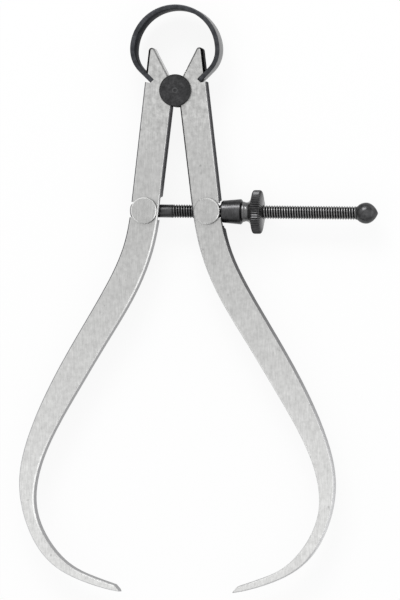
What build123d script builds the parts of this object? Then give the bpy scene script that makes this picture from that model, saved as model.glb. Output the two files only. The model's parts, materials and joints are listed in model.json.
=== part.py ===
from build123d import *
from math import asin, cos, degrees, radians, sin
import os

# Outside caliper with flat legs, a bow spring and an adjusting screw, lying flat on its back.
# Millimetres. The origin is on the fulcrum axis, at the back face of the fulcrum washer.
# X points right, Y from the fulcrum towards the bow, Z from the back to the front.

# Heights through the joint, from the back face up
washer_thickness = 1.0
leg_thickness = 5.0
face_clearance = 0.05
leg_back = washer_thickness + face_clearance
leg_front = leg_back + leg_thickness
mid_height = (leg_back + leg_front) / 2

# How far a cutting shape reaches past what it cuts
overcut = 1.0

# Leg: the straight upper part runs between two slightly diverging lines, x = start + slope * -y
outer_start = 9.76
outer_slope = 0.1149
inner_start = 0.79
inner_slope = 0.1201
horn_shoulder_y = 12.3
horn_tip = (7.35, 13.1)
horn_inner_angle = 27.2
straight_outer_end_y = -36.0
straight_inner_end_y = -32.5
edge_bevel = 0.45
horn_bevel_width = 0.65
horn_bevel_middle_y = 9.5
horn_bevel_half_length = 4.2

# Points that the two edges of the right leg pass through below the straight part, and how each edge ends
outer_sweep = [
    (16.1, -47.1), (22.9, -61.7), (31.0, -75.4), (45.3, -104.0),
    (48.7, -119.6), (45.4, -135.1), (35.1, -147.1), (20.1, -152.5),
]
inner_sweep = [
    (7.6, -48.5), (13.6, -63.2), (21.9, -77.0), (30.2, -90.7), (38.1, -104.5), (43.6, -119.5),
    (43.9, -127.5), (41.4, -135.2), (36.8, -141.8), (30.8, -146.5), (24.3, -149.2),
]
outer_end_slope = 0.173
inner_end_slope = 0.326
tip_point = (17.2, -153.0)
tip_heel = (19.0, -151.0)
tip_crown_radius = 3.4
tip_crown_length = 1.1
tip_zone_width = 8.0

# Notch in the outer edge of each horn, where an end of the bow sits
notch_inner_top = (6.68, 3.42)
notch_inner_bottom = (7.76, 2.34)
notch_mouth_bottom = (11.0, 3.0)
notch_mouth_top = (10.74, 7.48)

# Fulcrum: a headed roller that both legs bear on, riveted over a washer
roller_radius = 3.25
seat_clearance = 0.06
fulcrum_disc_radius = 4.9
fulcrum_head_thickness = 0.9
fulcrum_bevel = 0.25
rivet_radius = 1.9
centre_mark_radius = 0.45
centre_mark_depth = 0.2

# Bow spring: a flat strip, straight at the ends, then a tight arc, then a half ring
bow_radius = 13.1
bow_centre_y = 12.3
bow_lower_radius = 8.55
bow_thickness = 1.4
bow_width = 8.4
bow_end_width = 5.0
bow_end_x = 7.32
bow_taper_start_y = 3.0
bow_taper_end_y = 14.0

# Adjusting screw, stated from the left stud along its own axis
left_pivot = (-9.6, -36.55)
right_pivot = (9.75, -36.83)
screw_tilt = -0.829
screw_drop = 0.4
screw_height = mid_height - screw_drop
screw_radius = 2.05
bore_clearance = 0.15
shank_radius = 2.0
thread_start = 8.1
thread_end = 65.1
screw_head_radius = 2.1
screw_head_inner_end = -3.3
screw_head_outer_end = -4.9
screw_dome_length = 0.7
ball_end = 71.3
ball_radius = 3.2
ball_face_radius = 2.75
ball_shoulder_x = 66.3
ball_shoulder_radius = 3.08

# Studs: a flat head, a body right through the leg that the screw crosses, and a rivet over a washer
stud_head_radius = 4.0
stud_head_thickness = 1.0
stud_head_bevel = 0.3
stud_head_lift = 0.55
stud_body_radius = 3.2
stud_clearance = 0.06
stud_rivet_radius = 1.8
stud_washer_radius = 3.5
stud_washer_thickness = 0.9
stud_washer_bevel = 0.2
right_bore_radius = screw_radius + bore_clearance
stud_head_bottom = leg_front + stud_head_lift
stud_head_top = stud_head_bottom + stud_head_thickness

# Slot through each leg that the screw swings in: open at the back, and at the front only on the outer side
slot_clearance = 0.15
slot_headroom = 0.1
slot_top = screw_height + max(screw_radius, screw_head_radius) + slot_headroom
slot_reach = 7.0
window_above = 2.6
window_below = 2.1

# Opening range of each leg from the pose in which the caliper is built, with a little to spare
closing_angle = 6.35
opening_angle = 21.5
angle_to_spare = 1.0
stud_swivel_ratio = -0.9682
sleeve_shift_per_degree = 0.0873

# Seat of the thrust sleeve in the right leg's outer edge, cleared at evenly spaced openings
relief_steps = 5
relief_length = 4.0
relief_clearance = 0.12
relief_end_clearance = 0.1

# Thrust sleeve and adjusting nut, stated from the right stud along the screw's axis
sleeve_start = 4.15
sleeve_end = 10.45
sleeve_start_radius = 3.36
sleeve_end_radius = 3.86
sleeve_start_bevel = 0.3
sleeve_end_bevel = 0.4
sleeve_bore_clearance = 0.12
sleeve_bore_radius = screw_radius + sleeve_bore_clearance
nut_start = 10.49
collar_end = 10.99
collar_radius = 3.1
neck_x = 11.65
neck_radius = 2.85
neck_end = 12.5
neck_end_radius = 3.05
wheel_start = 13.2
wheel_end = 17.0
rim_start = 13.9
rim_end = 16.2
rim_radius = 6.65
rim_corner = 0.4
wheel_hub_radius = 4.1
wheel_end_radius = 3.6
knurl_count = 54
knurl_depth = 0.28
knurl_width_share = 0.95
knurl_overcut = 0.1
nut_bore_radius = screw_radius + bore_clearance


def outer_line_x(y):
    """X of the right leg's straight outer edge at height y."""
    return outer_start - outer_slope * y


def inner_line_x(y):
    """X of the right leg's straight inner edge at height y."""
    return inner_start - inner_slope * y


def direction(angle):
    """Unit vector in the plane of the legs at an angle in degrees from X."""
    return Vector(cos(radians(angle)), sin(radians(angle)))


def across(angle):
    """Unit vector to the left of a direction."""
    return direction(angle + 90)


def flat_polygon(points):
    """A face in the plane of the legs with straight edges through the points."""
    return make_face(Polyline(*points, close=True))


def slab(face, bottom, top):
    """A face raised to the height bottom and thickened up to the height top."""
    return extrude(Pos(0, 0, bottom) * face, top - bottom)


def disc(radius, centre, bottom, top):
    """An upright cylinder between two heights."""
    return slab(Pos(*centre) * Circle(radius), bottom, top)


def leg_blank():
    """The right leg before any seat or slot: horn, straight part and sweep, with bevelled edges."""
    horn_inner = direction(90 - horn_inner_angle)
    outer_shoulder = (outer_line_x(horn_shoulder_y), horn_shoulder_y)
    outer_end = (outer_line_x(straight_outer_end_y), straight_outer_end_y)
    inner_end = (inner_line_x(straight_inner_end_y), straight_inner_end_y)
    inner_shoulder = horn_inner * (horn_shoulder_y / horn_inner.Y)
    inner_shoulder = (inner_shoulder.X, inner_shoulder.Y)
    root_y = inner_start / (horn_inner.X / horn_inner.Y + inner_slope)
    root = (inner_line_x(root_y), root_y)
    edges = [
        Line(inner_shoulder, root),
        Line(root, inner_end),
        Spline(inner_end, *inner_sweep, tip_heel, tangents=[(inner_slope, -1), (-1, -inner_end_slope)]),
        Line(tip_heel, tip_point),
        Spline(outer_end, *outer_sweep, tip_point, tangents=[(outer_slope, -1), (-1, -outer_end_slope)]),
        Line(outer_end, outer_shoulder),
        ThreePointArc(outer_shoulder, horn_tip, inner_shoulder),
    ]
    blank = slab(make_face(edges), leg_back, leg_front)
    rims = [edge for face in blank.faces().filter_by(Axis.Z) for edge in face.edges()]
    return chamfer(rims, edge_bevel)


def fan(pivot, left_angle, right_angle, half_width, reach):
    """The ground that a bar of a given half width covers as it swings about the pivot between two angles."""
    left_start = Vector(*pivot) + across(left_angle) * half_width
    right_start = Vector(*pivot) - across(right_angle) * half_width
    left_end = left_start + direction(left_angle) * reach
    right_end = right_start + direction(right_angle) * reach
    return flat_polygon([left_start, left_end, right_end, right_start])


def screw_slot(pivot, side):
    """The slot across a leg that lets the screw swing as the leg opens; side is 1 on the right.

    It flares both ways from the stud. A lip at the front closes it, apart from a window on the outer side.
    """
    half_width = max(screw_radius, screw_head_radius) + slot_clearance
    towards_bow = screw_tilt + side * (closing_angle + angle_to_spare)
    towards_tip = screw_tilt - side * (opening_angle + angle_to_spare)
    high = max(towards_bow, towards_tip)
    low = min(towards_bow, towards_tip)
    bottom = leg_back - overcut
    slot = slab(fan(pivot, high, low, half_width, slot_reach), bottom, slot_top)
    slot += slab(fan(pivot, high + 180, low + 180, half_width, slot_reach), bottom, slot_top)
    window = Rectangle(slot_reach, window_above + window_below)
    window_centre = Pos(side * slot_reach / 2, (window_above - window_below) / 2)
    window = Pos(*pivot) * Rot(0, 0, screw_tilt) * window_centre * window
    return slot + slab(window, bottom, leg_front + overcut)


def sleeve_relief():
    """The seat in the right leg's outer edge: the ground that the sleeve's end covers as the leg turns."""
    bar = Rot(0, 90, 0) * Cylinder(sleeve_start_radius + relief_clearance, relief_length)
    relief = []
    for step in range(relief_steps):
        opening = -closing_angle + (closing_angle + opening_angle) * step / (relief_steps - 1)
        start = sleeve_start + sleeve_shift_per_degree * opening - relief_end_clearance
        swivel = Rot(0, 0, screw_tilt + stud_swivel_ratio * opening)
        relief.append(Pos(*right_pivot, screw_height) * swivel * Pos(start + relief_length / 2, 0, 0) * bar)
    return relief


def horn_bevel():
    """The wedge that bevels the outer edge of a horn above the notch, on the front face."""
    middle = (outer_line_x(horn_bevel_middle_y), horn_bevel_middle_y, leg_front)
    edge = Plane(origin=middle, x_dir=(1, outer_slope, 0), z_dir=(-outer_slope, 1, 0))
    reach = horn_bevel_width + overcut
    wedge = make_face(Polyline((overcut, -overcut), (-reach, -overcut), (overcut, reach), close=True))
    return extrude(edge * wedge, horn_bevel_half_length, both=True)


def make_leg(side):
    """One leg; side is 1 for the right leg and -1 for the left."""
    pivot = right_pivot if side > 0 else left_pivot
    leg = leg_blank()
    notch = flat_polygon([notch_inner_top, notch_inner_bottom, notch_mouth_bottom, notch_mouth_top])
    leg -= slab(notch, leg_back - overcut, leg_front + overcut)
    leg -= disc(roller_radius + seat_clearance, (0, 0), leg_back - overcut, leg_front + overcut)
    tip = Pos(*tip_point, mid_height)
    tip_zone = Box(2 * tip_crown_length, tip_zone_width, leg_thickness + overcut)
    crown = Rot(90, 0, 0) * Cylinder(tip_crown_radius, tip_zone_width + overcut)
    leg -= tip * (tip_zone - Pos(tip_crown_radius, 0, 0) * crown)
    leg -= horn_bevel()
    if side < 0:
        leg = mirror(leg, Plane.YZ)
    leg -= screw_slot(pivot, side)
    leg -= disc(stud_body_radius + stud_clearance, pivot, leg_back - overcut, leg_front + overcut)
    if side > 0:
        leg -= sleeve_relief()
    return max(leg.solids(), key=lambda solid: solid.volume)


def make_fulcrum_stud():
    """Front disc, roller body and rivet in one turned piece."""
    head_bottom = leg_front + face_clearance
    head_top = head_bottom + fulcrum_head_thickness
    stud = disc(fulcrum_disc_radius, (0, 0), head_bottom, head_top)
    stud = chamfer(stud.edges().group_by(Axis.Z)[-1], fulcrum_bevel)
    stud += disc(roller_radius, (0, 0), washer_thickness, head_bottom)
    stud += disc(rivet_radius, (0, 0), 0, washer_thickness)
    stud -= disc(centre_mark_radius, (0, 0), head_top - centre_mark_depth, head_top)
    return stud.solid()


def make_fulcrum_washer():
    """Back disc that the fulcrum is riveted over."""
    washer = disc(fulcrum_disc_radius, (0, 0), 0, washer_thickness)
    washer = chamfer(washer.edges().group_by(Axis.Z)[0], fulcrum_bevel)
    washer -= disc(rivet_radius, (0, 0), 0, washer_thickness)
    return washer.solid()


def make_bow():
    """The bow spring: a strip bent to its C shape and narrowed towards both ends."""
    lower_centre_x = bow_radius - bow_lower_radius
    corner = Vector(lower_centre_x, bow_centre_y) + direction(-45) * bow_lower_radius
    end = Vector(bow_end_x, corner.Y - (corner.X - bow_end_x))
    side_step = across(45) * (bow_thickness / 2)
    strip_end = Line(end - side_step, end + side_step)
    outer = [
        Line(end - side_step, corner - side_step),
        CenterArc((lower_centre_x, bow_centre_y), bow_lower_radius + bow_thickness / 2, -45, 45),
        CenterArc((0, bow_centre_y), bow_radius + bow_thickness / 2, 0, 90),
    ]
    inner = [
        Line(end + side_step, corner + side_step),
        CenterArc((lower_centre_x, bow_centre_y), bow_lower_radius - bow_thickness / 2, -45, 45),
        CenterArc((0, bow_centre_y), bow_radius - bow_thickness / 2, 0, 90),
    ]
    half = [strip_end] + outer + inner
    crown = bow_centre_y + bow_radius
    half.append(Line((0, crown - bow_thickness / 2), (0, crown + bow_thickness / 2)))
    half_strip = slab(make_face(half), mid_height - bow_width / 2, mid_height + bow_width / 2)
    strip = half_strip + mirror(half_strip, Plane.YZ)
    top = crown + bow_thickness
    side_view = Polyline(
        (0, mid_height - bow_end_width / 2),
        (bow_taper_start_y, mid_height - bow_end_width / 2),
        (bow_taper_end_y, mid_height - bow_width / 2),
        (top, mid_height - bow_width / 2),
        (top, mid_height + bow_width / 2),
        (bow_taper_end_y, mid_height + bow_width / 2),
        (bow_taper_start_y, mid_height + bow_end_width / 2),
        (0, mid_height + bow_end_width / 2),
        close=True,
    )
    envelope = extrude(Plane.YZ * make_face(side_view), bow_radius * 2, both=True)
    return (strip & envelope).solid()


def along_screw(pivot):
    """Placement whose X axis is the screw's axis and whose origin is over a stud's pivot."""
    return Pos(pivot[0], pivot[1], screw_height) * Rot(0, 0, screw_tilt)


def turned(profile, pivot):
    """A solid turned about the screw's axis from a closed half profile of (x, radius) edges."""
    return along_screw(pivot) * revolve(make_face(profile), Axis.X)


def make_stud(pivot, bore_radius):
    """A stud with its head at the front, its cross bore on the screw's axis and its rivet at the back."""
    stud = disc(stud_head_radius, pivot, stud_head_bottom, stud_head_top)
    stud = chamfer(stud.edges().group_by(Axis.Z)[-1], stud_head_bevel)
    body_bottom = leg_back - face_clearance
    stud += disc(stud_body_radius, pivot, body_bottom, stud_head_bottom)
    stud += disc(stud_rivet_radius, pivot, body_bottom - stud_washer_thickness, body_bottom)
    stud -= along_screw(pivot) * Rot(0, 90, 0) * Cylinder(bore_radius, 4 * stud_body_radius)
    return stud.solid()


def make_stud_washer(pivot):
    """The small washer that a stud is riveted over at the back of a leg."""
    top = leg_back - face_clearance
    bottom = top - stud_washer_thickness
    washer = disc(stud_washer_radius, pivot, bottom, top)
    washer = chamfer(washer.edges().group_by(Axis.Z)[0], stud_washer_bevel)
    washer -= disc(stud_rivet_radius, pivot, bottom, top)
    return washer.solid()


def make_screw():
    """The screw: a domed head, a plain shank and the threaded length."""
    dome_radius = (screw_head_radius**2 + screw_dome_length**2) / (2 * screw_dome_length)
    dome_angle = degrees(asin(screw_head_radius / dome_radius))
    profile = [
        CenterArc((screw_head_outer_end + dome_radius, 0), dome_radius, 180 - dome_angle, dome_angle),
        Polyline(
            (screw_head_outer_end + screw_dome_length, screw_head_radius),
            (screw_head_inner_end, screw_head_radius),
            (screw_head_inner_end, shank_radius),
            (thread_start, shank_radius),
            (thread_start, screw_radius),
            (thread_end, screw_radius),
            (thread_end, 0),
            (screw_head_outer_end, 0),
        ),
    ]
    return turned(profile, left_pivot).solid()


def make_ball():
    """The acorn-shaped stop that is fixed on the free end of the screw."""
    centre = ball_end - ball_radius
    shoulder = (ball_shoulder_x, ball_shoulder_radius)
    profile = [
        ThreePointArc((thread_end, ball_face_radius), shoulder, (centre, ball_radius)),
        CenterArc((centre, 0), ball_radius, 0, 90),
        Polyline((ball_end, 0), (thread_end, 0), (thread_end, ball_face_radius)),
    ]
    return turned(profile, left_pivot).solid()


def make_sleeve():
    """The tapered thrust sleeve between the right leg and the nut."""
    profile = Polyline(
        (sleeve_start, sleeve_bore_radius),
        (sleeve_start, sleeve_start_radius - sleeve_start_bevel),
        (sleeve_start + sleeve_start_bevel, sleeve_start_radius),
        (sleeve_end - sleeve_end_bevel, sleeve_end_radius),
        (sleeve_end, sleeve_end_radius - sleeve_end_bevel),
        (sleeve_end, sleeve_bore_radius),
        close=True,
    )
    return turned(profile, right_pivot).solid()


def knurl_groove():
    """One V groove of the knurl, across the whole width of the wheel, with the screw's axis as its X axis."""
    top = rim_radius + knurl_overcut
    half_width = top * sin(radians(180 / knurl_count)) * knurl_width_share
    outline = Polyline((0, rim_radius - knurl_depth), (half_width, top), (-half_width, top), close=True)
    groove = extrude(Plane.YZ * make_face(outline), wheel_end - wheel_start)
    return Pos(wheel_start, 0, 0) * groove


def make_nut():
    """The adjusting nut: a necked collar and a knurled wheel with sloping flanks."""
    profile = Polyline(
        (nut_start, nut_bore_radius),
        (nut_start, collar_radius),
        (collar_end, collar_radius),
        (neck_x, neck_radius),
        (neck_end, neck_end_radius),
        (wheel_start, wheel_hub_radius),
        (rim_start - rim_corner / 2, rim_radius - rim_corner),
        (rim_start + rim_corner, rim_radius),
        (rim_end - rim_corner, rim_radius),
        (rim_end + rim_corner / 2, rim_radius - rim_corner),
        (wheel_end, wheel_end_radius),
        (wheel_end, nut_bore_radius),
        close=True,
    )
    nut = revolve(make_face(profile), Axis.X)
    groove = knurl_groove()
    nut -= [Rot(360 / knurl_count * step, 0, 0) * groove for step in range(knurl_count)]
    return (along_screw(right_pivot) * nut).solid()


parts = {
    "left_leg": make_leg(-1),
    "right_leg": make_leg(1),
    "bow_spring": make_bow(),
    "fulcrum_stud": make_fulcrum_stud(),
    "fulcrum_washer": make_fulcrum_washer(),
    "left_stud": make_stud(left_pivot, shank_radius),
    "left_stud_washer": make_stud_washer(left_pivot),
    "right_stud": make_stud(right_pivot, right_bore_radius),
    "right_stud_washer": make_stud_washer(right_pivot),
    "adjusting_screw": make_screw(),
    "ball_stop": make_ball(),
    "thrust_sleeve": make_sleeve(),
    "adjusting_nut": make_nut(),
}

os.makedirs("parts", exist_ok=True)
for name, solid in parts.items():
    export_step(solid, f"parts/{name}.step")
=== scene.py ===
import json
import math

import bpy
import numpy as np
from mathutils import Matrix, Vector


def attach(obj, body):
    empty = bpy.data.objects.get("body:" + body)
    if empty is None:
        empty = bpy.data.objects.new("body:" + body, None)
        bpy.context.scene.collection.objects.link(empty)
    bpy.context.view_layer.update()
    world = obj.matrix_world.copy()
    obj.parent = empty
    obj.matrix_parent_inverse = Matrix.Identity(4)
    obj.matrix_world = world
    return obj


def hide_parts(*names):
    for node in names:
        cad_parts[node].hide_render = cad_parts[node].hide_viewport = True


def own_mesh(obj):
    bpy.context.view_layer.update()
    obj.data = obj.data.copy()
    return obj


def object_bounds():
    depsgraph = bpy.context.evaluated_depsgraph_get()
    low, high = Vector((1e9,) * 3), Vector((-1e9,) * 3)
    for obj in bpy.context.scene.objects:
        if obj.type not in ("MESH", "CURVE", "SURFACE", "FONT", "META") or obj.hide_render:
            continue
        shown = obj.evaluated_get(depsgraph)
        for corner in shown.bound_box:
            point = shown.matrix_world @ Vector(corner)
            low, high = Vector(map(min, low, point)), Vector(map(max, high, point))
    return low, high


bl_info = {
    "name": "Outside Caliper Looks",
    "version": (1, 0, 0),
    "blender": (4, 5, 0),
    "location": "View3D > Sidebar > Caliper",
    "description": "Finishes, thread, knurl, bow spring and studio for a flat-legged outside caliper",
    "category": "Object",
}

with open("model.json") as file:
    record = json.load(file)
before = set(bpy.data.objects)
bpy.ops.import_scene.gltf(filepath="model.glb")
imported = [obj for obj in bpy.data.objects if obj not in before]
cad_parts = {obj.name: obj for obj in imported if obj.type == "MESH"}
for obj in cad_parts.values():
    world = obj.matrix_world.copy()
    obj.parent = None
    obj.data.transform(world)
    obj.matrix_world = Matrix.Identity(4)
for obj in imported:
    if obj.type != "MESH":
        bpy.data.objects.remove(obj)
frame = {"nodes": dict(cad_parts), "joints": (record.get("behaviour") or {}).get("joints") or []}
cad_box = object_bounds()

# The screw's axis as the solids have it: its points in the two studs, and its direction
JOINTS = {joint["name"]: joint for joint in frame["joints"]}
LEFT_STUD = np.array(JOINTS["screw_swivel"]["pos_m"])
RIGHT_STUD = np.array(JOINTS["right_stud_swivel"]["pos_m"])
SCREW_AXIS = np.array(JOINTS["nut_turn"]["axis"])

# Height of the legs' middle plane
MIDDLE_Z = JOINTS["right_leg_opening"]["pos_m"][2]

# Patterns are sized in millimetres, and Object coordinates are metres
PER_MM = 1000
GRAIN_HEIGHT_MM = 0.05

# Noise lies mostly between these two values
NOISE_LOW, NOISE_HIGH = 0.3, 0.7

# A tint that takes nothing from the light
WHITE = (1.0, 1.0, 1.0, 1.0)

# Setting of a Mix node that mixes colours, the numbers of its inputs, and that of its output
COLOURS = {"data_type": "RGBA"}
SHARE, COLOUR_A, COLOUR_B = 0, 6, 7
MIXED = 2

# Faces that meet at more than this angle keep a sharp edge
SHARP_ANGLE = math.radians(35)

# Brightness of the studio against the height of the direction, 0 at the horizon and 1 overhead
ROOM_LEVELS = ((0.0, 0.42), (0.22, 0.50), (0.42, 0.75), (0.68, 0.90), (0.88, 0.87), (1.0, 0.85))


def linear(hex_colour):
    """Linear RGB from an sRGB hex colour."""
    value = np.array([int(hex_colour[i : i + 2], 16) for i in (1, 3, 5)]) / 255
    value = np.where(value <= 0.04045, value / 12.92, ((value + 0.055) / 1.055) ** 2.4)
    return tuple(float(v) for v in value)


def rgba(colour):
    """A colour with full alpha, as a socket takes it."""
    return (*colour, 1.0)


def length(name, description, metres):
    """A length that a user may change."""
    return bpy.props.FloatProperty(
        name=name, description=description, default=metres, unit="LENGTH", precision=5
    )


def colour(name, description, hex_colour):
    """A colour that a user may change, given as sRGB hex."""
    return bpy.props.FloatVectorProperty(
        name=name, description=description, subtype="COLOR", min=0.0, max=1.0, default=linear(hex_colour)
    )


class ScrewSizes(bpy.types.PropertyGroup):
    """Sizes of the adjusting screw, measured along its axis from the left stud."""

    pitch: length("Pitch", "Distance from crest to crest, 32 threads per inch", 0.00079375)
    crest_radius: length("Crest radius", "Outer radius of the thread", 0.00205)
    depth: length("Thread depth", "Crest to root", 0.00036)
    shank_radius: length("Shank radius", "Radius of the plain length at the left stud", 0.0020)
    head_radius: length("Head radius", "Radius of the domed head", 0.0021)
    head_end: length("Head end", "Outer end of the domed head", -0.0049)
    head_start: length("Head start", "Where the head steps down to the shank", -0.0033)
    dome: length("Dome", "Length of the head's dome", 0.0007)
    thread_start: length("Thread start", "Where the thread begins", 0.0081)
    thread_end: length("Thread end", "Where the ball stop begins", 0.0651)


class StopSizes(bpy.types.PropertyGroup):
    """Sizes of the acorn-shaped ball stop, measured along the screw from the left stud."""

    start: length("Start", "Where the stop meets the thread", 0.0651)
    widest: length("Widest", "Where the stop is widest", 0.0677)
    end: length("End", "Blunt point of the stop", 0.0713)
    radius: length("Radius", "Largest radius", 0.0032)
    waist: bpy.props.FloatProperty(
        name="Waist", description="Share of the squared radius that is lost at the thread", default=0.57,
        subtype="FACTOR", min=0.0, max=1.0,
    )


class NutSizes(bpy.types.PropertyGroup):
    """Sizes of the adjusting nut, measured along the screw from the right stud."""

    start: length("Start", "Face against the thrust sleeve", 0.01049)
    bore: length("Bore", "Radius of the hole that the screw fills", 0.0022)
    collar_end: length("Collar end", "Where the collar gives way to the neck", 0.01099)
    collar: length("Collar radius", "Radius of the collar", 0.0031)
    neck_start: length("Neck start", "Where the neck is thinnest", 0.01165)
    neck: length("Neck radius", "Smallest radius of the neck", 0.00285)
    neck_end: length("Neck end", "Where the neck widens to the wheel", 0.0125)
    neck_end_radius: length("Neck end radius", "Radius where the neck widens", 0.00305)
    wheel_start: length("Wheel start", "Where the wheel's first flank rises", 0.0132)
    hub: length("Hub radius", "Radius at the foot of the first flank", 0.0041)
    rim_start: length("Rim start", "Where the first flank meets the rim", 0.0138)
    rim_end: length("Rim end", "Where the second flank meets the rim", 0.0163)
    rim: length("Rim radius", "Radius over the knurl", 0.00665)
    wheel_end: length("Wheel end", "Where the wheel's second flank ends", 0.0170)
    end_radius: length("End radius", "Radius where the second flank ends", 0.0036)
    grooves: bpy.props.IntProperty(name="Grooves", description="Number of knurl grooves", default=54, min=3)
    groove_depth: length("Groove depth", "Depth of each knurl groove", 0.00028)


class BowSizes(bpy.types.PropertyGroup):
    """Sizes of the bow spring's strip and of the arcs it follows."""

    radius: length("Ring radius", "Middle of the strip in the upper half ring", 0.0131)
    centre_y: length("Ring centre", "Height of the ring's centre over the fulcrum", 0.0123)
    lower_radius: length("Lower radius", "Radius of the strip below the half ring", 0.00855)
    end_x: length("End", "Distance of each end from the middle", 0.00732)
    thickness: length("Thickness", "Thickness of the strip", 0.0014)
    width: length("Width", "Width of the strip at the crown", 0.0084)
    end_width: length("End width", "Width of the strip in the notches", 0.0050)
    taper_start: length("Taper start", "Height at which the strip begins to widen", 0.0030)
    taper_end: length("Taper end", "Height from which the strip has its full width", 0.0140)
    corner: length("Corner", "Rounding of the strip's edges", 0.00028)


class Finishes(bpy.types.PropertyGroup):
    """Colours of the finishes."""

    # The face's colours, lighter near the tips than near the joint: a painted gradient of light
    legs: colour("Legs", "Ground steel near the joint", "#bcbcbb")
    tips: colour("Tips", "Ground steel near the tips", "#dededd")
    # Painted shade: the outer sides of the legs are dark
    sides: colour("Sides", "Dull outer sides of the legs near the joint", "#606062")
    # Painted light: the outer sides are lighter near the tips
    tip_sides_painted_light: colour("Tip sides", "Outer sides of the legs near the tips, polished more", "#d6d6d7")
    # Painted light: the inner sides are paler below the screw
    inner_sides_painted_light: colour("Inner sides", "Paler inner sides of the legs below the screw", "#b4b4b5")
    # Painted shade: the horns' outer sides are black beside the bow
    horn_sides_painted_shade: colour("Horn sides", "Outer sides of the horns, blackened beside the bow", "#232324")
    # Painted highlight: the colour of the bevels along the edges
    painted_bevel_highlight: colour("Burnished edges", "Bevels along the edges, rubbed bright", "#f0f0ef")
    studs: colour("Studs", "Brushed steel of the stud heads", "#b8b8b7")
    bow: colour("Bow", "Blued spring steel", "#414245")
    oxide: colour("Black oxide", "Black oxide steel of the screw, nut and fulcrum", "#3c3c3d")
    handled_oxide: colour("Handled oxide", "Paler black oxide of the sleeve and the ball stop", "#4a4a4b")
    worn: colour("Worn steel", "Bare steel where the screw and the nut are rubbed", "#929292")
    # Partly wear, partly a painted sheen: the paler bare steel on the bow's outer face and edges
    bow_wear_and_sheen: colour("Worn bow", "Bare steel where the bow spring is rubbed", "#a8a8a8")


class StageSettings(bpy.types.PropertyGroup):
    """The camera's place and the studio around the caliper."""

    target: bpy.props.FloatVectorProperty(
        name="Target", description="Point of the caliper in the middle of the picture", unit="LENGTH",
        default=(0.007195, -0.06384, MIDDLE_Z),
    )
    turn: bpy.props.FloatProperty(
        name="Turn", description="Camera's lean towards the ball stop's side", subtype="ANGLE",
        default=math.radians(9.11),
    )
    distance: length("Distance", "Camera to target", 1.1)
    view_height: length("View height", "Height of the picture at the target", 0.183)
    floor_size: length("Floor size", "Half the side of the floor", 2.0)
    floor_colour: colour("Floor", "Pale matt board", "#ededed")
    white_share: bpy.props.FloatProperty(
        name="White share", description="Share of plain white in the board as the camera sees it",
        default=0.88, subtype="FACTOR", min=0.0, max=1.0,
    )
    window_power: bpy.props.FloatProperty(
        name="Window lamp", description="Power in watts of the soft lamp beyond the bow", default=3.0
    )
    strip_power: bpy.props.FloatProperty(
        name="Strip lamp", description="Power in watts of the low lamp on the ball stop's side", default=0.5
    )


def add_node(tree, kind, settings=None, inputs=None):
    """Adds a node, sets its properties, and sets its inputs or links those that are given as sockets."""
    added = tree.nodes.new(kind)
    for key, value in (settings or {}).items():
        setattr(added, key, value)
    for key, value in (inputs or {}).items():
        if isinstance(value, bpy.types.NodeSocket):
            tree.links.new(value, added.inputs[key])
        else:
            added.inputs[key].default_value = value
    return added


def new_material(name):
    """An empty node material and its tree with only the output node."""
    material = bpy.data.materials.new(name)
    material.use_nodes = True
    tree = material.node_tree
    tree.nodes.clear()
    return material, tree, add_node(tree, "ShaderNodeOutputMaterial")


def grained_metal(tree, output, tint, edge_tint, grain, smoothest, roughest, bump_strength):
    """A metal surface whose roughness and fine bump follow its grain."""
    rough = add_node(tree, "ShaderNodeMapRange", inputs={
        "Value": grain, "From Min": NOISE_LOW, "From Max": NOISE_HIGH,
        "To Min": smoothest, "To Max": roughest,
    }).outputs[0]
    bump = add_node(tree, "ShaderNodeBump", inputs={
        "Strength": bump_strength, "Distance": GRAIN_HEIGHT_MM / PER_MM, "Height": grain,
    }).outputs[0]
    shader = add_node(tree, "ShaderNodeBsdfPrincipled", inputs={
        "Base Color": tint, "Metallic": 1.0, "Roughness": rough, "Normal": bump, "Specular Tint": edge_tint,
    })
    tree.links.new(shader.outputs[0], output.inputs["Surface"])


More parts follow.
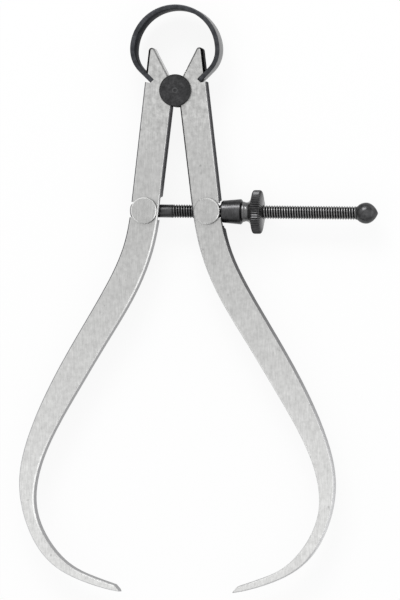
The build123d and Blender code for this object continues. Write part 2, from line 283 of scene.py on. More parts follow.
def ground_pattern(tree, place, stroke_mm):
    """Grain of ground and polished steel, and the shade that strokes, soft patches and pits give it.

    Each stroke is 0.35 mm wide, a few grit lines together, because one line is too fine to show. The patches
    are stronger round the fulcrum, where grime collects.
    """
    stroke_width_mm, patch_mm, pit_mm = 0.35, 1.3, 1.4
    stroke_dark, stroke_pale = 0.91, 1.09
    grime_start, grime_end = 0.007, 0.020
    grimy_dark, grimy_pale = 0.76, 1.26
    clean_dark, clean_pale = 0.90, 1.10
    pit_floor, pit_rim, pit_dark = 0.17, 0.27, 0.72
    strokes = add_node(tree, "ShaderNodeMapping", inputs={
        "Vector": place,
        "Scale": (PER_MM / stroke_width_mm, PER_MM / stroke_mm, PER_MM / stroke_width_mm),
    }).outputs[0]
    grain = add_node(
        tree, "ShaderNodeTexNoise", inputs={"Vector": strokes, "Scale": 1.0, "Detail": 3.0, "Roughness": 0.6}
    ).outputs["Fac"]
    patches = add_node(tree, "ShaderNodeTexNoise", inputs={
        "Vector": place, "Scale": PER_MM / patch_mm, "Detail": 5.0, "Roughness": 0.6,
    }).outputs["Fac"]
    pits = add_node(tree, "ShaderNodeTexNoise", inputs={
        "Vector": place, "Scale": PER_MM / pit_mm, "Detail": 1.0, "Roughness": 0.4,
    }).outputs["Fac"]
    stroke_shade = add_node(tree, "ShaderNodeMapRange", inputs={
        "Value": grain, "From Min": NOISE_LOW, "From Max": NOISE_HIGH,
        "To Min": stroke_dark, "To Max": stroke_pale,
    }).outputs[0]
    from_fulcrum = add_node(
        tree, "ShaderNodeVectorMath", {"operation": "LENGTH"}, {0: place}
    ).outputs["Value"]
    darkest = add_node(tree, "ShaderNodeMapRange", inputs={
        "Value": from_fulcrum, "From Min": grime_start, "From Max": grime_end,
        "To Min": grimy_dark, "To Max": clean_dark,
    }).outputs[0]
    palest = add_node(tree, "ShaderNodeMapRange", inputs={
        "Value": from_fulcrum, "From Min": grime_start, "From Max": grime_end,
        "To Min": grimy_pale, "To Max": clean_pale,
    }).outputs[0]
    patch_shade = add_node(tree, "ShaderNodeMapRange", inputs={
        "Value": patches, "From Min": NOISE_LOW, "From Max": NOISE_HIGH, "To Min": darkest, "To Max": palest,
    }).outputs[0]
    pit_shade = add_node(tree, "ShaderNodeMapRange", inputs={
        "Value": pits, "From Min": pit_floor, "From Max": pit_rim, "To Min": pit_dark, "To Max": 1.0,
    }).outputs[0]
    shade = add_node(
        tree, "ShaderNodeMath", {"operation": "MULTIPLY"}, {0: stroke_shade, 1: patch_shade}
    ).outputs[0]
    shade = add_node(tree, "ShaderNodeMath", {"operation": "MULTIPLY"}, {0: shade, 1: pit_shade}).outputs[0]
    return grain, shade


def leg_sides(tree, position, normal, along, flatness, colours):
    """Colour of the sides and bevels, and the tint of what they mirror at grazing angles.

    Both grow paler towards the tips, a painted gradient of light. The sides are painted dark as shade. Below
    the screw the inner sides are painted paler than the outer ones, as painted light. Above the fulcrum the
    sides that face the bow are painted black as shade beside the bow, and those between the horns are painted
    as bright as the face. The bevels carry a painted highlight above a foot of painted shade, whose height is
    taken from the middle plane. It is lower on the inner sides, so their bevels are painted bright almost
    from the start.
    """
    inner_start_y, inner_full_y = -0.028, -0.042
    horn_start_y, horn_full_y = 0.0035, 0.0050
    turned_in, turned_out = -0.1, 0.3
    side_flatness, bevel_flatness = 0.4, 0.6
    inner_foot, outer_foot, foot_fade = 0.00208, 0.00236, 0.00008
    painted_shade_grazing, inner_grazing, tip_grazing = (rgba((grey, grey, grey)) for grey in (0.25, 0.6, 0.9))
    # The sides are painted dark as shade, and their grazing reflections are tinted dark as painted shade
    side = add_node(tree, "ShaderNodeMix", COLOURS, {
        SHARE: along, COLOUR_A: colours["side"], COLOUR_B: colours["tip_side_painted_light"],
    }).outputs[MIXED]
    grazing = add_node(tree, "ShaderNodeMix", COLOURS, {
        SHARE: along, COLOUR_A: painted_shade_grazing, COLOUR_B: tip_grazing,
    }).outputs[MIXED]

    # outward is 1 on a side that faces away from the middle of the caliper and 0 on one that faces it
    hand = add_node(tree, "ShaderNodeMath", {"operation": "SIGN"}, {0: position["X"]}).outputs[0]
    outward = add_node(
        tree, "ShaderNodeMath", {"operation": "MULTIPLY"}, {0: normal["X"], 1: hand}
    ).outputs[0]
    outward = add_node(tree, "ShaderNodeMapRange", inputs={
        "Value": outward, "From Min": turned_in, "From Max": turned_out,
    }).outputs[0]
    inner = add_node(tree, "ShaderNodeMath", {"operation": "SUBTRACT"}, {0: 1.0, 1: outward}).outputs[0]
    # Painted light: inner sides below the screw are painted paler, with a paler grazing tint
    below = add_node(tree, "ShaderNodeMapRange", inputs={
        "Value": position["Y"], "From Min": inner_start_y, "From Max": inner_full_y,
    }).outputs[0]
    inner = add_node(tree, "ShaderNodeMath", {"operation": "MULTIPLY"}, {0: inner, 1: below}).outputs[0]
    side = add_node(tree, "ShaderNodeMix", COLOURS, {
        SHARE: inner, COLOUR_A: side, COLOUR_B: colours["inner_side_painted_light"],
    }).outputs[MIXED]
    grazing = add_node(tree, "ShaderNodeMix", COLOURS, {
        SHARE: inner, COLOUR_A: grazing, COLOUR_B: inner_grazing,
    }).outputs[MIXED]

    # Bevels: a painted highlight above their feet, and painted shade on the feet
    height = add_node(
        tree, "ShaderNodeMath", {"operation": "SUBTRACT"}, {0: position["Z"], 1: MIDDLE_Z}
    ).outputs[0]
    height = add_node(tree, "ShaderNodeMath", {"operation": "ABSOLUTE"}, {0: height}).outputs[0]
    foot = add_node(tree, "ShaderNodeMapRange", inputs={
        "Value": inner, "To Min": outer_foot, "To Max": inner_foot,
    }).outputs[0]
    foot_end = add_node(tree, "ShaderNodeMath", {"operation": "ADD"}, {0: foot, 1: foot_fade}).outputs[0]
    high = add_node(tree, "ShaderNodeMapRange", inputs={
        "Value": height, "From Min": foot, "From Max": foot_end,
    }).outputs[0]
    sloping = add_node(tree, "ShaderNodeMapRange", inputs={
        "Value": flatness, "From Min": side_flatness, "From Max": bevel_flatness,
    }).outputs[0]
    high = add_node(tree, "ShaderNodeMath", {"operation": "MULTIPLY"}, {0: high, 1: sloping}).outputs[0]
    side = add_node(tree, "ShaderNodeMix", COLOURS, {
        SHARE: high, COLOUR_A: side, COLOUR_B: colours["bevel"],
    }).outputs[MIXED]

    # Horns: painted black shade on the bow's side, and painted as bright as the face between them
    horn = add_node(tree, "ShaderNodeMapRange", inputs={
        "Value": position["Y"], "From Min": horn_start_y, "From Max": horn_full_y,
    }).outputs[0]
    horn_side_painted_shade = add_node(tree, "ShaderNodeMix", COLOURS, {
        SHARE: outward, COLOUR_A: colours["face"], COLOUR_B: colours["horn_side_painted_shade"],
    }).outputs[MIXED]
    horn_grazing = add_node(tree, "ShaderNodeMix", COLOURS, {
        SHARE: outward, COLOUR_A: WHITE, COLOUR_B: painted_shade_grazing,
    }).outputs[MIXED]
    side = add_node(tree, "ShaderNodeMix", COLOURS, {
        SHARE: horn, COLOUR_A: side, COLOUR_B: horn_side_painted_shade,
    }).outputs[MIXED]
    grazing = add_node(tree, "ShaderNodeMix", COLOURS, {
        SHARE: horn, COLOUR_A: grazing, COLOUR_B: horn_grazing,
    }).outputs[MIXED]
    return side, grazing


def ground_steel(name, colours, roughness, stroke_mm):
    """Tool steel, surface ground and polished lengthwise, with painted shade and painted highlights.

    It gives the eye a satin grey face with faint lengthwise strokes and soft patches, painted lighter towards
    the tips as a gradient of light. The outer sides are painted dark as shade, and their grazing reflections
    are tinted dark as painted shade, less so near the tips. Their bevels carry a painted highlight above a
    dark foot of painted shade. colours holds one for each of face, tip_face_painted_light, side,
    tip_side_painted_light, inner_side_painted_light, horn_side_painted_shade and bevel.
    """
    joint_end_y, tip_end_y = -0.045, -0.135
    bevel_end, face_start = 0.75, 0.92
    smoother, rougher, bump_strength = 0.05, 0.07, 0.10
    colours = {part: rgba(value) for part, value in colours.items()}
    material, tree, output = new_material(name)
    coordinates = add_node(tree, "ShaderNodeTexCoord").outputs
    place = coordinates["Object"]
    grain, shade = ground_pattern(tree, place, stroke_mm)
    position = add_node(tree, "ShaderNodeSeparateXYZ", inputs={"Vector": place}).outputs
    normal = add_node(tree, "ShaderNodeSeparateXYZ", inputs={"Vector": coordinates["Normal"]}).outputs

    # along is 0 near the joint and 1 at the tips; flatness is 0 on a side, 0.71 on a bevel and 1 on a face
    along = add_node(tree, "ShaderNodeMapRange", inputs={
        "Value": position["Y"], "From Min": joint_end_y, "From Max": tip_end_y,
    }).outputs[0]
    flatness = add_node(tree, "ShaderNodeMath", {"operation": "ABSOLUTE"}, {0: normal["Z"]}).outputs[0]
    # The face is painted lighter towards the tips, a painted gradient of light along the legs
    face = add_node(tree, "ShaderNodeMix", COLOURS, {
        SHARE: along, COLOUR_A: colours["face"], COLOUR_B: colours["tip_face_painted_light"],
    }).outputs[MIXED]
    side, side_grazing = leg_sides(tree, position, normal, along, flatness, colours)
    flat = add_node(tree, "ShaderNodeMapRange", {"interpolation_type": "SMOOTHSTEP"}, {
        "Value": flatness, "From Min": bevel_end, "From Max": face_start,
    }).outputs[0]
    skin = add_node(tree, "ShaderNodeMix", COLOURS, {
        SHARE: flat, COLOUR_A: side, COLOUR_B: face,
    }).outputs[MIXED]
    grazing = add_node(tree, "ShaderNodeMix", COLOURS, {
        SHARE: flat, COLOUR_A: side_grazing, COLOUR_B: WHITE,
    }).outputs[MIXED]
    tint = add_node(
        tree, "ShaderNodeVectorMath", {"operation": "SCALE"}, {0: skin, "Scale": shade}
    ).outputs[0]
    grained_metal(
        tree, output, tint, grazing, grain, roughness - smoother, roughness + rougher, bump_strength
    )
    return material


def dark_steel(name, skin, roughness, grain_mm, grazing=0.8, worn=None, centre_ring=False):
    """Steel with a thin black oxide or blued skin over a turned or rolled surface.

    It gives the eye a near-black metal with soft wide highlights, faint grain and soft patches. grain_mm
    is the size of the surface's grain along X, Y and Z. grazing is the share of light that the dull skin
    still mirrors at its edges. worn is the colour of bare steel, given for a piece whose attribute named
    rubbed is 1 where the skin is gone. Rubbing smooths the skin, which mirrors all light at its edges
    where a fifth of it is gone. centre_ring adds the faint ring that a lathe centre leaves round the
    fulcrum's axis.
    """
    patch_mm, patch_noise_high, patch_dark, patch_pale = 2.2, 0.75, 0.7, 1.5
    grain_dark, grain_pale = 0.75, 1.25
    ring_radius, ring_width, ring_pale = 0.0007, 0.00025, 1.7
    sheen_gain = 5.0
    smoother, rougher, bump_strength = 0.06, 0.08, 0.15
    material, tree, output = new_material(name)
    place = add_node(tree, "ShaderNodeTexCoord").outputs["Object"]
    stretched = add_node(tree, "ShaderNodeMapping", inputs={
        "Vector": place, "Scale": tuple(PER_MM / size for size in grain_mm),
    }).outputs[0]
    grain = add_node(tree, "ShaderNodeTexNoise", inputs={
        "Vector": stretched, "Scale": 1.0, "Detail": 3.0, "Roughness": 0.6,
    }).outputs["Fac"]
    patches = add_node(tree, "ShaderNodeTexNoise", inputs={
        "Vector": place, "Scale": PER_MM / patch_mm, "Detail": 5.0, "Roughness": 0.6,
    }).outputs["Fac"]
    patch_shade = add_node(tree, "ShaderNodeMapRange", inputs={
        "Value": patches, "From Min": NOISE_LOW, "From Max": patch_noise_high,
        "To Min": patch_dark, "To Max": patch_pale,
    }).outputs[0]
    grain_shade = add_node(tree, "ShaderNodeMapRange", inputs={
        "Value": grain, "From Min": NOISE_LOW, "From Max": NOISE_HIGH,
        "To Min": grain_dark, "To Max": grain_pale,
    }).outputs[0]
    shade = add_node(
        tree, "ShaderNodeMath", {"operation": "MULTIPLY"}, {0: patch_shade, 1: grain_shade}
    ).outputs[0]
    if centre_ring:
        across = add_node(tree, "ShaderNodeVectorMath", {"operation": "MULTIPLY"}, {0: place, 1: (1, 1, 0)})
        away = add_node(tree, "ShaderNodeVectorMath", {"operation": "LENGTH"}, {0: across.outputs[0]})
        away = add_node(
            tree, "ShaderNodeMath", {"operation": "SUBTRACT"}, {0: away.outputs["Value"], 1: ring_radius}
        ).outputs[0]
        away = add_node(tree, "ShaderNodeMath", {"operation": "ABSOLUTE"}, {0: away}).outputs[0]
        ring = add_node(tree, "ShaderNodeMapRange", inputs={
            "Value": away, "From Min": 0.0, "From Max": ring_width, "To Min": ring_pale, "To Max": 1.0,
        }).outputs[0]
        shade = add_node(tree, "ShaderNodeMath", {"operation": "MULTIPLY"}, {0: shade, 1: ring}).outputs[0]
    tint = add_node(
        tree, "ShaderNodeVectorMath", {"operation": "SCALE"}, {0: skin, "Scale": shade}
    ).outputs[0]
    edge_tint = rgba((grazing, grazing, grazing))
    if worn is not None:
        bare = add_node(tree, "ShaderNodeAttribute", {"attribute_name": "rubbed"}).outputs["Fac"]
        bare = add_node(
            tree, "ShaderNodeMath", {"operation": "MULTIPLY"}, {0: bare, 1: grain_shade}
        ).outputs[0]
        tint = add_node(tree, "ShaderNodeMix", COLOURS, {
            SHARE: bare, COLOUR_A: tint, COLOUR_B: rgba(worn),
        }).outputs[MIXED]
        smooth = add_node(
            tree, "ShaderNodeMath", {"operation": "MULTIPLY", "use_clamp": True}, {0: bare, 1: sheen_gain}
        ).outputs[0]
        edge_tint = add_node(tree, "ShaderNodeMix", COLOURS, {
            SHARE: smooth, COLOUR_A: edge_tint, COLOUR_B: WHITE,
        }).outputs[MIXED]
    grained_metal(
        tree, output, tint, edge_tint, grain, roughness - smoother, roughness + rougher, bump_strength
    )
    return material


def dress(names, material):
    """Gives CAD nodes their material."""
    for name in names:
        if name not in frame["nodes"]:
            raise RuntimeError(f"the packed model has no node named {name}")
        mesh = frame["nodes"][name].data
        mesh.materials.clear()
        mesh.materials.append(material)


def grid_piece(name, points, material, body, rubbed=0.0, ring=False):
    """A closed piece from a grid of points, rows along it and columns round it, that rides on a body.

    Each row is joined to the next by quads, and the last column to the first. A ring's last row is joined to
    its first. Otherwise each end is closed by a fan of triangles to the mean point of its row. Columns turn
    from Y to Z when rows run along X. rubbed gives each point's share of bare steel, which the piece keeps as
    the attribute of that name.
    """
    rows, columns = points.shape[:2]
    vertices = points.reshape(-1, 3)
    index = np.arange(rows * columns).reshape(rows, columns)
    after = np.roll(index, -1, axis=1)
    quads = np.stack([index, after, np.roll(after, -1, axis=0), np.roll(index, -1, axis=0)], axis=-1)
    shares = np.broadcast_to(rubbed, (rows, columns)).ravel()
    if ring:
        faces = quads.reshape(-1, 4).tolist()
    else:
        first, last = rows * columns, rows * columns + 1
        start = np.stack([np.full(columns, first), after[0], index[0]], axis=-1)
        finish = np.stack([np.full(columns, last), index[-1], after[-1]], axis=-1)
        faces = quads[:-1].reshape(-1, 4).tolist() + start.tolist() + finish.tolist()
        vertices = np.concatenate([vertices, points[:1].mean(axis=1), points[-1:].mean(axis=1)])
        shares = np.concatenate([shares, [0.0, 0.0]])
    mesh = bpy.data.meshes.new(name)
    mesh.from_pydata(vertices.tolist(), [], faces)
    mesh.polygons.foreach_set("use_smooth", np.ones(len(mesh.polygons), bool))
    mesh.set_sharp_from_angle(angle=SHARP_ANGLE)
    mesh.attributes.new("rubbed", "FLOAT", "POINT").data.foreach_set("value", shares)
    mesh.materials.append(material)
    piece = bpy.data.objects.new(name, mesh)
    bpy.context.scene.collection.objects.link(piece)
    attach(piece, body)
    return piece


def rounded(corners, reaches, steps=6):
    """Points of a line through the given corners, with each inner corner rounded.

    An inner corner gives way to a parabola between the points at its own reach from it on both sides: (1-t)
    squared times the first, plus 2t(1-t) times the corner, plus t squared times the second.
    """
    corners = np.array(corners)
    reaches = np.array(reaches)[:, None]
    side = np.diff(corners, axis=0)
    side = side / np.linalg.norm(side, axis=1, keepdims=True)
    inner = corners[1:-1]
    t = np.linspace(0, 1, steps)[:, None, None]
    first = inner - side[:-1] * reaches
    second = inner + side[1:] * reaches
    curves = (1 - t) ** 2 * first + 2 * t * (1 - t) * inner + t**2 * second
    return np.concatenate([corners[:1], curves.swapaxes(0, 1).reshape(-1, 2), corners[-1:]])


def about_screw(x, radius, turn, origin):
    """Points at a distance x along the screw's axis from origin, at a radius and a turn about it from Y to Z.

    The axis lies in the plane of the legs, so each point is the origin, plus x along the axis, plus the
    radius times the cosine of the turn along the axis's left-hand normal, plus the radius times its sine
    along Z.
    """
    left = np.array([-SCREW_AXIS[1], SCREW_AXIS[0], 0.0])
    up = np.array([0.0, 0.0, 1.0])
    x = np.broadcast_to(x, radius.shape)[..., None]
    leftward = (radius * np.cos(turn))[..., None] * left
    upward = (radius * np.sin(turn))[..., None] * up
    return origin + x * SCREW_AXIS + leftward + upward


def full_turn(columns):
    """The turns of evenly spaced columns round an axis, as one row."""
    return np.linspace(0, 2 * math.pi, columns, endpoint=False)[None, :]


def screw_surface(sizes):
    """Points round the screw, row by row along it, and their share of bare steel.

    The radius follows a profile along the axis: a quarter-ellipse dome, the head, the plain shank and
    the thread. On the thread, the radius is the crest less the depth times a trapezoid wave of the
    phase, which is the distance along the axis in pitches less the turn round it, so the crest climbs as
    a right-hand helix. The wave fades in and out over one pitch at both ends. The crests are bare beyond
    the right stud, where the nut runs, and less so between the studs. The head and the shank are a
    little rubbed.
    """
    dome_rows, rows_per_pitch, columns = 9, 12, 48
    dome_start_turn = 0.12
    shoulder = 0.0001
    flank_slope, crest_flat = 2.9, 0.3
    worn_between, worn_beyond, worn_shank, worn_fade = 0.45, 1.0, 0.15, 2.5
    dome_turn = np.linspace(dome_start_turn, math.pi / 2, dome_rows)
    dome_x = sizes.head_end + sizes.dome * (1 - np.cos(dome_turn))
    dome_radius = sizes.head_radius * np.sin(dome_turn)
    plain_x = np.array([sizes.head_start, sizes.head_start, sizes.thread_start - shoulder])
    plain_radius = np.array([sizes.head_radius, sizes.shank_radius, sizes.shank_radius])
    steps = int((sizes.thread_end - sizes.thread_start) / sizes.pitch * rows_per_pitch)
    thread_x = np.linspace(sizes.thread_start, sizes.thread_end, steps)
    x = np.concatenate([dome_x, plain_x, thread_x])[:, None]
    base = np.concatenate([dome_radius, plain_radius, np.full(steps, sizes.crest_radius)])[:, None]
    turn = full_turn(columns)
    phase = (x / sizes.pitch - turn / (2 * math.pi)) % 1.0
    groove = np.clip((0.5 - np.abs(phase - 0.5)) * flank_slope - crest_flat, 0, 1)
    fade_in = np.clip((x - sizes.thread_start) / sizes.pitch, 0, 1)
    fade_out = np.clip((sizes.thread_end - x) / sizes.pitch, 0, 1)
    threaded = fade_in * fade_out
    radius = base - sizes.depth * groove * threaded
    worn = np.where(x < np.linalg.norm(RIGHT_STUD - LEFT_STUD), worn_between, worn_beyond)
    worn_crest = worn * np.clip(1 - worn_fade * groove, 0, 1) * threaded
    bare = np.where(x < sizes.thread_start, worn_shank, worn_crest)
    return about_screw(x, radius, turn, LEFT_STUD), bare


def stop_surface(sizes):
    """Rows of points round the acorn-shaped ball stop.

    From the thread to its widest, the radius is the largest times the root of one less the waist times s
    squared, where s falls from 1 to 0. From there to the blunt point it is the largest times one less s
    squared, raised to 0.75, where s is the sine of a turn from 0 to almost a right angle.
    """
    swell_rows, fall_rows, columns = 12, 24, 64
    last_turn = 0.99 * math.pi / 2
    power = 0.75
    swell = np.linspace(1, 0, swell_rows)[:-1]
    fall = np.sin(np.linspace(0, last_turn, fall_rows))
    x = np.concatenate([
        sizes.widest - (sizes.widest - sizes.start) * swell,
        sizes.widest + (sizes.end - sizes.widest) * fall,
    ])
    radius = sizes.radius * np.concatenate([np.sqrt(1 - sizes.waist * swell**2), (1 - fall**2) ** power])
    turn = full_turn(columns)
    return about_screw(x[:, None], radius[:, None] * np.ones_like(turn), turn, LEFT_STUD)


def nut_surface(sizes):
    """Points round the adjusting nut, row by row along it, and their share of bare steel.

    The radius follows a line of collar, neck, flank, rim and flank, with each corner rounded by its own
    reach. On the wheel it is lowered by the groove depth times a triangle wave of the turn, which fades
    out down both flanks. The last row is joined to the first along the bore. Steel within the hub's
    radius, such as the neck, is partly bare, and the knurl's crests are less so.
    """
    points_per_groove = 8
    worn_neck, worn_crest = 0.4, 0.22
    reaches = [0.0002, 0.0002, 0.0003, 0.0004, 0.0005, 0.0006, 0.0006, 0.0002]
    outline = rounded(
        [
            (sizes.start, sizes.bore), (sizes.start, sizes.collar), (sizes.collar_end, sizes.collar),
            (sizes.neck_start, sizes.neck), (sizes.neck_end, sizes.neck_end_radius),
            (sizes.wheel_start, sizes.hub), (sizes.rim_start, sizes.rim), (sizes.rim_end, sizes.rim),
            (sizes.wheel_end, sizes.end_radius), (sizes.wheel_end, sizes.bore),
        ],
        reaches,
    )
    x, base = outline[:, :1], outline[:, 1:]
    turn = full_turn(sizes.grooves * points_per_groove)
    wave = np.abs((turn * sizes.grooves / (2 * math.pi)) % 1.0 - 0.5) * 2
    knurled = np.clip(2 * (base - sizes.hub) / (sizes.rim - sizes.hub), 0, 1)
    radius = base - sizes.groove_depth * (1 - wave) * knurled
    bare = worn_crest * np.clip(wave * 2 - 1, 0, 1) * knurled + worn_neck * (1 - knurled)
    return about_screw(x, radius, turn, RIGHT_STUD), bare


def bow_surface(sizes):
    """Rows of points round the bow spring's strip, and their share of bare steel.

    The middle line of the right half runs straight at 45 degrees out of the notch, then along an arc of the
    lower radius, then along a quarter of the ring; the left half is its mirror image. Across it stands a
    rectangle with rounded corners, whose width grows evenly with height from the taper's start to its end.
    The four edges are a little rubbed and the outer face more: partly wear, partly a painted sheen.
    """
    end_rows, lower_rows, ring_rows, corner_points = 8, 14, 40, 6
    edge_middle = (2, 3)
    edge_wear_and_sheen, outer_wear_and_sheen = 0.04, 0.3
    lower_x = sizes.radius - sizes.lower_radius
    low = np.radians(np.linspace(-45, 0, lower_rows))
    high = np.radians(np.linspace(0, 90, ring_rows))[1:]
    arc = np.stack([
        lower_x + sizes.lower_radius * np.cos(low),
        sizes.centre_y + sizes.lower_radius * np.sin(low),
    ], axis=-1)
    ring = np.stack([sizes.radius * np.cos(high), sizes.centre_y + sizes.radius * np.sin(high)], axis=-1)
    reach = (arc[0, 0] - sizes.end_x) * np.linspace(-1, 0, end_rows)[:-1]
    line = arc[:1] + reach[:, None]
    middle = np.concatenate([line, arc, ring])
    middle = np.concatenate([middle, middle[-2::-1] * np.array([-1, 1])])
    facing = np.concatenate([np.full(len(line), -math.pi / 4), low, high])
    facing = np.concatenate([facing, math.pi - facing[-2::-1]])
    rise = np.clip((middle[:, 1] - sizes.taper_start) / (sizes.taper_end - sizes.taper_start), 0, 1)
    half_width = (sizes.end_width + (sizes.width - sizes.end_width) * rise) / 2
    quarter = np.radians(np.linspace(0, 90, corner_points))
    round_turn = np.concatenate([quarter + k * math.pi / 2 for k in range(4)])
    side = np.repeat([1, -1, -1, 1], corner_points)
    face = np.repeat([1, 1, -1, -1], corner_points)
    out = (sizes.thickness / 2 - sizes.corner) * side + sizes.corner * np.cos(round_turn)
    up = (half_width[:, None] - sizes.corner) * face + sizes.corner * np.sin(round_turn)
    x = middle[:, :1] + np.cos(facing)[:, None] * out
    y = middle[:, 1:] + np.sin(facing)[:, None] * out
    rubbed = np.where(np.isin(np.arange(len(out)) % corner_points, edge_middle), edge_wear_and_sheen, 0.0)

    # The outer face lies between the last column and the first
    # The outer face's share is partly wear and partly a painted sheen
    rubbed[[0, -1]] = outer_wear_and_sheen
    return np.stack([x, y, MIDDLE_Z - up], axis=-1), rubbed


class CALIPER_OT_legs(bpy.types.Operator):
    """Finish the two legs as ground steel"""

    bl_idname = "caliper.legs"
    bl_label = "Legs"

    def execute(self, context):
        finishes = context.scene.caliper_finishes
        colours = {
            "face": finishes.legs, "tip_face_painted_light": finishes.tips, "side": finishes.sides,
            "tip_side_painted_light": finishes.tip_sides_painted_light, "inner_side_painted_light": finishes.inner_sides_painted_light,
            "horn_side_painted_shade": finishes.horn_sides_painted_shade, "bevel": finishes.painted_bevel_highlight,
        }
        material = ground_steel("ground_tool_steel", colours, roughness=0.32, stroke_mm=3.0)
        dress(("left_leg", "right_leg"), material)
        return {"FINISHED"}


class CALIPER_OT_studs(bpy.types.Operator):
    """Finish the studs and their washers as brushed steel"""

    bl_idname = "caliper.studs"
    bl_label = "Studs"

    def execute(self, context):
        finishes = context.scene.caliper_finishes
        # The studs get the same painted shade on their sides and a ring of painted highlight on their bevels
        colours = dict.fromkeys(("side", "tip_side_painted_light", "inner_side_painted_light", "horn_side_painted_shade"), finishes.sides)
        colours.update({"face": finishes.studs, "tip_face_painted_light": finishes.studs, "bevel": finishes.painted_bevel_highlight})
        material = ground_steel("brushed_stud_steel", colours, roughness=0.30, stroke_mm=3.0)
        dress(("left_stud", "right_stud", "left_stud_washer", "right_stud_washer"), material)
        return {"FINISHED"}


class CALIPER_OT_bow(bpy.types.Operator):
    """Make the bow spring"""

    bl_idname = "caliper.bow"
    bl_label = "Bow spring"

    def execute(self, context):
        finishes = context.scene.caliper_finishes
        material = dark_steel(
            "blued_spring_steel", finishes.bow, roughness=0.36, grain_mm=(1.2, 1.2, 0.25), grazing=0.3,
            worn=finishes.bow_wear_and_sheen,
        )
        # For the bow, rubbed holds its wear and its painted sheen
        points, rubbed = bow_surface(context.scene.caliper_bow)
        piece = grid_piece("bow_spring_strip", points, material, "bow", rubbed)
        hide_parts("bow_spring")
        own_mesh(piece)
        return {"FINISHED"}


class CALIPER_OT_screw(bpy.types.Operator):
    """Make the adjusting screw with its thread, and the ball stop on its end"""

    bl_idname = "caliper.screw"
    bl_label = "Adjusting screw"

    def execute(self, context):
        finishes = context.scene.caliper_finishes
        material = dark_steel(
            "black_oxide_thread_steel", finishes.oxide, roughness=0.30, grain_mm=(0.3, 0.8, 0.8),
            worn=finishes.worn,
        )
        points, rubbed = screw_surface(context.scene.caliper_screw)
        screw = grid_piece("threaded_screw", points, material, "screw_unit", rubbed)
        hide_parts("adjusting_screw")
        material = dark_steel(
            "black_oxide_stop_steel", finishes.handled_oxide, roughness=0.28, grain_mm=(0.8, 0.8, 0.8)
        )
        stop = grid_piece("acorn_stop", stop_surface(context.scene.caliper_stop), material, "screw_unit")
        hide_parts("ball_stop")
        return {"FINISHED"}


class CALIPER_OT_nut(bpy.types.Operator):
    """Make the adjusting nut with its knurled wheel"""

    bl_idname = "caliper.nut"
    bl_label = "Adjusting nut"

    def execute(self, context):
        finishes = context.scene.caliper_finishes
        material = dark_steel(
            "black_oxide_knurled_steel", finishes.oxide, roughness=0.30, grain_mm=(0.8, 0.4, 0.4),
            worn=finishes.worn,
        )
        points, rubbed = nut_surface(context.scene.caliper_nut)
        piece = grid_piece("knurled_nut", points, material, "nut_unit", rubbed, ring=True)
        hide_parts("adjusting_nut")
        return {"FINISHED"}


class CALIPER_OT_turned(bpy.types.Operator):
    """Finish the fulcrum, its washer and the thrust sleeve as black oxide steel"""

    bl_idname = "caliper.turned"
    bl_label = "Turned pieces"

    def execute(self, context):
        finishes = context.scene.caliper_finishes
        disc_steel = dark_steel(
            "black_oxide_disc_steel", finishes.oxide, roughness=0.34, grain_mm=(0.6, 0.6, 0.6),
            centre_ring=True,
        )
        dress(("fulcrum_stud", "fulcrum_washer"), disc_steel)
        sleeve_steel = dark_steel(
            "black_oxide_sleeve_steel", finishes.handled_oxide, roughness=0.28, grain_mm=(0.25, 1.5, 1.5)
        )
        dress(("thrust_sleeve",), sleeve_steel)
        return {"FINISHED"}


def pale_floor(scene, stage):
    """A large flat board just under the caliper's lowest point.

    Matt white board: it takes a soft shadow. The camera, and metal that mirrors the board, see it mixed with
    plain white.
    """
    gap = 0.00005
    low = cad_box[0][2] - gap
    half = stage.floor_size
    mesh = bpy.data.meshes.new("floor")
    mesh.from_pydata(
        [(-half, -half, low), (half, -half, low), (half, half, low), (-half, half, low)], [], [(0, 1, 2, 3)]
    )
    material, tree, output = new_material("pale_matt_board")
    board = add_node(
        tree, "ShaderNodeBsdfDiffuse", inputs={"Color": rgba(stage.floor_colour), "Roughness": 1.0}
    )
    white = add_node(tree, "ShaderNodeEmission", inputs={"Color": WHITE, "Strength": 1.0})
    ray = add_node(tree, "ShaderNodeLightPath").outputs
    seen = add_node(
        tree, "ShaderNodeMath", {"operation": "MAXIMUM"}, {0: ray["Is Camera Ray"], 1: ray["Is Glossy Ray"]}
    ).outputs[0]
    seen = add_node(
        tree, "ShaderNodeMath", {"operation": "MAXIMUM"}, {0: seen, 1: ray["Is Transmission Ray"]}
    ).outputs[0]
    share = add_node(
        tree, "ShaderNodeMath", {"operation": "MULTIPLY"}, {0: seen, 1: stage.white_share}
    ).outputs[0]
    mixed = add_node(
        tree, "ShaderNodeMixShader", inputs={0: share, 1: board.outputs[0], 2: white.outputs[0]}
    )
    tree.links.new(mixed.outputs[0], output.inputs["Surface"])
    mesh.materials.append(material)
    floor = bpy.data.objects.new("floor", mesh)
    scene.collection.objects.link(floor)


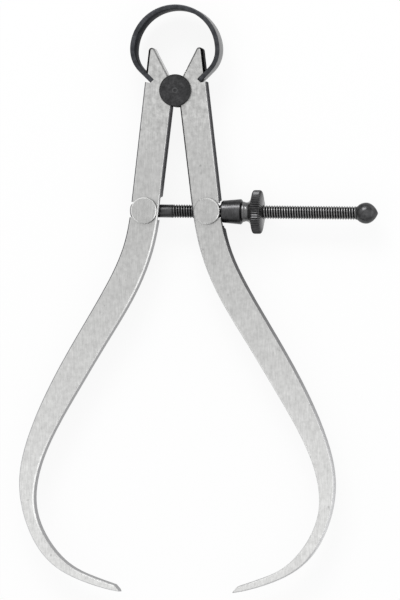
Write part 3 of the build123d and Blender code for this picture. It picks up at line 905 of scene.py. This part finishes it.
def soft_room(scene):
    """The world: a pale ceiling over darker low walls, a little brighter on the bow's side."""
    level, bow_side_lift = 1.15, 0.25
    world = bpy.data.worlds.new("soft_room")
    world.use_nodes = True
    scene.world = world
    tree = world.node_tree
    tree.nodes.clear()
    towards = add_node(tree, "ShaderNodeTexCoord").outputs["Generated"]
    parts = add_node(tree, "ShaderNodeSeparateXYZ", inputs={"Vector": towards}).outputs
    ramp = add_node(tree, "ShaderNodeValToRGB", inputs={"Fac": parts["Z"]})
    for place, _ in ROOM_LEVELS[:-2]:
        ramp.color_ramp.elements.new(place)
    for element, (place, grey) in zip(ramp.color_ramp.elements, ROOM_LEVELS):
        element.position = place
        element.color = (grey, grey, grey, 1.0)
    strength = add_node(
        tree, "ShaderNodeMath", {"operation": "MULTIPLY_ADD"}, {0: parts["Y"], 1: bow_side_lift, 2: level}
    ).outputs[0]
    background = add_node(
        tree, "ShaderNodeBackground", inputs={"Color": ramp.outputs["Color"], "Strength": strength}
    )
    add_node(tree, "ShaderNodeOutputWorld", inputs={"Surface": background.outputs[0]})


def soft_lamp(scene, name, target, towards, distance, size, power):
    """A rectangular lamp that stands at a distance from the target in a direction and faces it."""
    data = bpy.data.lights.new(name, "AREA")
    data.shape = "RECTANGLE"
    data.size, data.size_y = size
    data.energy = power
    lamp = bpy.data.objects.new(name, data)
    away = Vector(towards).normalized() * distance
    lamp.location = Vector(target) + away
    lamp.rotation_euler = (-away).to_track_quat("-Z", "Y").to_euler()
    scene.collection.objects.link(lamp)


class CALIPER_OT_stage(bpy.types.Operator):
    """Set up the floor, the soft light and the camera"""

    bl_idname = "caliper.stage"
    bl_label = "Stage"

    def execute(self, context):
        scene = context.scene
        stage = scene.caliper_stage
        pale_floor(scene, stage)
        soft_room(scene)
        soft_lamp(
            scene, "soft_window_lamp", stage.target, (-0.15, 0.79, 0.62), distance=0.8, size=(0.5, 0.25),
            power=stage.window_power,
        )
        soft_lamp(
            scene, "low_strip_lamp", stage.target, (0.96, -0.12, 0.20), distance=0.8, size=(0.9, 0.12),
            power=stage.strip_power,
        )
        sensor = 36.0
        data = bpy.data.cameras.new("photo_camera")
        data.sensor_width = sensor
        data.lens = sensor * stage.distance / stage.view_height
        data.clip_start = 0.01
        data.clip_end = 20.0
        camera = bpy.data.objects.new("photo_camera", data)
        camera.rotation_euler = (0.0, stage.turn, 0.0)
        back = Vector((math.sin(stage.turn), 0.0, math.cos(stage.turn)))
        camera.location = Vector(stage.target) + back * stage.distance
        scene.collection.objects.link(camera)
        scene.camera = camera
        scene.view_settings.view_transform = "Standard"
        return {"FINISHED"}


class CALIPER_PT_panel(bpy.types.Panel):
    """Lists the caliper's operators, sizes and colours"""

    bl_label = "Caliper"
    bl_idname = "CALIPER_PT_panel"
    bl_space_type = "VIEW_3D"
    bl_region_type = "UI"
    bl_category = "Caliper"

    def draw(self, context):
        for operator in OPERATORS:
            self.layout.operator(operator.bl_idname)
        for group in GROUPS:
            settings = getattr(context.scene, group)
            box = self.layout.box()
            box.label(text=group.replace("_", " "))
            for key in settings.__annotations__:
                box.prop(settings, key)


OPERATORS = (
    CALIPER_OT_legs,
    CALIPER_OT_studs,
    CALIPER_OT_bow,
    CALIPER_OT_screw,
    CALIPER_OT_nut,
    CALIPER_OT_turned,
    CALIPER_OT_stage,
)
GROUPS = {
    "caliper_screw": ScrewSizes,
    "caliper_stop": StopSizes,
    "caliper_nut": NutSizes,
    "caliper_bow": BowSizes,
    "caliper_finishes": Finishes,
    "caliper_stage": StageSettings,
}


def register():
    """Registers the classes and gives each scene its groups of settings."""
    for cls in (*GROUPS.values(), *OPERATORS, CALIPER_PT_panel):
        bpy.utils.register_class(cls)
    for key, cls in GROUPS.items():
        setattr(bpy.types.Scene, key, bpy.props.PointerProperty(type=cls))


def unregister():
    """Undoes register, in the opposite order."""
    for key in GROUPS:
        delattr(bpy.types.Scene, key)
    for cls in (CALIPER_PT_panel, *reversed(OPERATORS), *reversed(tuple(GROUPS.values()))):
        bpy.utils.unregister_class(cls)


def main():
    register()
    bpy.ops.caliper.legs()
    bpy.ops.caliper.studs()
    bpy.ops.caliper.bow()
    bpy.ops.caliper.screw()
    bpy.ops.caliper.nut()
    bpy.ops.caliper.turned()
    bpy.ops.caliper.stage()


if __name__ == "__main__":
    main()
